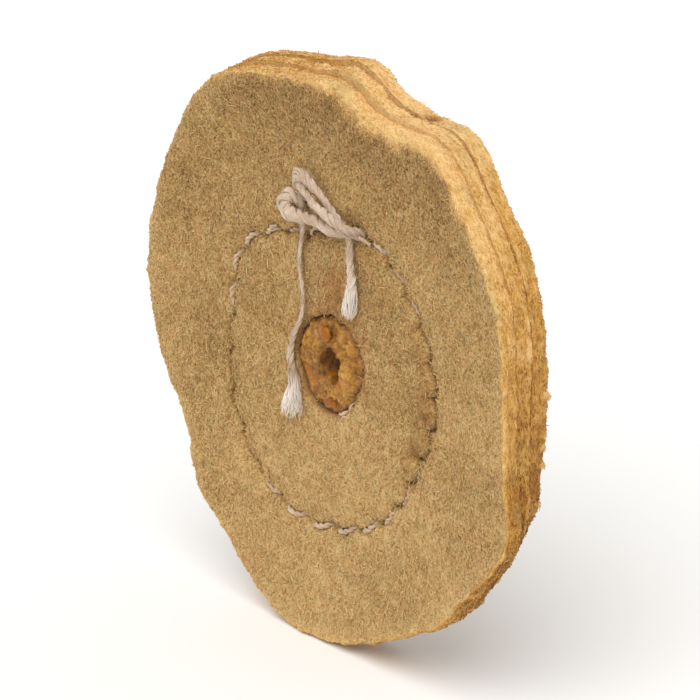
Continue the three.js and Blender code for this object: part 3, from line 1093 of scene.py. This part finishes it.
def makeCore():
    degrees = np.arange(core["columns"]) * 360 / core["columns"]
    low = flatFaces("front_ply")[0]
    high = flatFaces("back_ply")[1]
    across = np.linspace(0, 1, core["faceRows"])
    crown = core["lip"] - (core["dip"] + core["lip"]) * across ** 5 - 0.5 * np.exp(-across / 0.06)
    side = holeEdge("front_ply", degrees) - core["clearance"]
    radii = [core["bore"] + (side - core["bore"]) * share for share in across]
    rows = [(radius, low - rise, 0.0, -1.0) for radius, rise in zip(radii, crown)]
    front = rows[-1][1]
    back = high - core["dip"]
    rows += [(side, front + (back - front) * share, 1.0, 0.0) for share in between(core["rimRows"])]
    rows += [(radius, high + rise, 0.0, 1.0) for radius, rise in zip(radii[::-1], crown[::-1])]
    rows += [(core["bore"], rows[-1][1] + (rows[0][1] - rows[-1][1]) * share, -1.0, 0.0)
             for share in between(core["boreRows"])]
    radius, height, out, facing = gather(rows, degrees)
    base = onWheel(radius, height, degrees)
    seed = core["seed"]
    crease = np.abs(softNoise(base, 1.7, seed + 1))
    relief = (0.5 * softNoise(base, 3.2, seed) + 0.35 * softNoise(base, 1.5, seed + 5)
              + 0.25 * (np.minimum(crease, 0.3) - 0.2)
              + 0.28 * softNoise(base, 0.7, seed + 2) + 0.22 * softNoise(base, 0.35, seed + 3))
    lift = relief * np.where(out < 0, 0.3, np.where(out > 0, 0.2, 0.8))
    nearBore = hill(np.maximum(radius - core["bore"], 0), 0.9)
    overhang = 1.2 * bump(-12, 55, degrees) * hill(height - low, 1.8)
    nibbled = (softNoise(base * (1, 0.3, 1), 1.8, seed + 4) + overhang
               + 0.4 * softNoise(base * (1, 0.3, 1), 0.7, seed + 6)) * nearBore
    points = onWheel(radius + lift * out - np.maximum(nibbled, -0.15), height + lift * facing, degrees)
    # painted light and shade on the core: paler on its lumps and darker in its hollows, darker on the
    # bore's wall and round the bore, in the crease at its outer edge and along the fine creases of its
    # face
    tone = 0.5 + 0.42 * lift - 0.05 * (out < 0) - 0.1 * nearBore
    tone = tone - 0.3 * smooth(0.9, 0.2, side - radius) - 0.06 * smooth(0.12, 0.0, crease) * (out == 0)
    streak = np.hypot(base[..., 0] - 3.6, (base[..., 2] + 2.0) / 2)
    tone = tone + 0.3 * hill(streak, 1) * (facing < 0)
    mesh = ringMesh("hardenedCore", points)
    paint(mesh, {"tone": tone})
    return plainObject("hardenedCore", mesh, soaked, ["core_bush"])


def makeBead(name, node, seed):
    low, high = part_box(node)
    centre = np.array((low + high) / 2) / mm
    size = np.array(high - low) / 2 / mm
    rows, columns = 28, 44
    polar = np.linspace(0, math.pi, rows)[:, None]
    turn = np.arange(columns) * 2 * math.pi / columns
    ball = np.stack(np.broadcast_arrays(np.sin(polar) * np.cos(turn), np.cos(polar),
                                        np.sin(polar) * np.sin(turn)), axis=-1)
    relief = rough(ball * size, seed, (0.22, 1.3), (0.08, 0.6))
    points = (centre + ball * size * (1.02 + relief[..., None])).reshape(-1, 3)
    quads = ringQuads(rows, columns)[:-columns]  # open from pole to pole
    mesh = bpy.data.meshes.new(name)
    mesh.from_pydata(points * mm, [], quads.tolist())
    # merge the poles and turn every face outwards
    work = bmesh.new()
    work.from_mesh(mesh)
    bmesh.ops.remove_doubles(work, verts=work.verts, dist=0.004 * mm)
    bmesh.ops.recalc_face_normals(work, faces=work.faces)
    work.to_mesh(mesh)
    work.free()
    mesh.shade_smooth()
    return plainObject(name, mesh, amber, [node])


studio = {
    "floor": "#f7f6f4",
    "floorSize": 12.0,
    "world": 0.62,
    "key": 2.1,
    "keyFrom": (0.3, -0.5, 0.9),
    "keySpread": 55.0,  # degrees across
}


def setStage(lowest):
    mesh = bpy.data.meshes.new("floor")
    half = studio["floorSize"] / 2
    corners = [(x * half, y * half, lowest) for x, y in ((-1, -1), (1, -1), (1, 1), (-1, 1))]
    mesh.from_pydata(corners, [], [(0, 1, 2, 3)])
    material, _, shader = newMaterial("paleBoard", 0.9)
    shader.inputs["Base Color"].default_value = linear(studio["floor"])
    mesh.materials.append(material)
    placed("floor", mesh)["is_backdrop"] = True
    world = bpy.data.worlds.new("studio")
    world.use_nodes = True
    background = world.node_tree.nodes["Background"]
    background.inputs["Color"].default_value = (1.0, 1.0, 1.0, 1.0)
    background.inputs["Strength"].default_value = studio["world"]
    bpy.context.scene.world = world
    bpy.context.scene.view_settings.view_transform = "Standard"


def addKey():
    # One broad soft light from above and in front, as even as a large softbox far away.
    data = bpy.data.lights.new("keyLight", "SUN")
    data.energy = studio["key"]
    data.angle = math.radians(studio["keySpread"])
    lamp = placed("keyLight", data)
    lamp.rotation_euler = (-Vector(studio["keyFrom"])).to_track_quat("-Z", "Y").to_euler()


# Making, in order: camera, cords, discs, core, nap, floor and light.
setCamera()
faceFront = flatFaces("front_ply")[0]
faceBack = flatFaces("back_ply")[1]
napped = makeNappedSplit()
napMaterial = makeNap()
cotton = makeCotton("unbleachedCottonYarn", yarn["tail"])
sewing = makeCotton("soiledCottonThread", yarn["thread"])
soaked = makeSoakedCore()
amber = makeAmber()
yarnTree = buildYarnTree()
for number, (name, tail) in enumerate(tails.items()):
    makeTail(name, tail, 70 + number)
sewnThread("needleThread", "needle_thread", faceFront, -1.0, 81)
sewnThread("bobbinThread", "bobbin_thread", faceBack, 1.0, 82)
print("yarn made")
for name, disc in discs.items():
    makeDisc(name, disc)
print("discs made")
makeCore()
makeBead("upperBead", "shellac_bead_upper", 91)
makeBead("lowerBead", "shellac_bead_lower", 92)
print("core made")
napTree = buildNapTree()
fibreShapes = {kind: makeFibre("fibreOf" + kind, look["rings"]) for kind, look in napKinds.items()}
for name, nap in naps.items():
    growNap(name, nap)
for fibre in fibreShapes.values():
    bpy.data.objects.remove(fibre)
print("nap grown")
setStage(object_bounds()[0].z)
addKey()
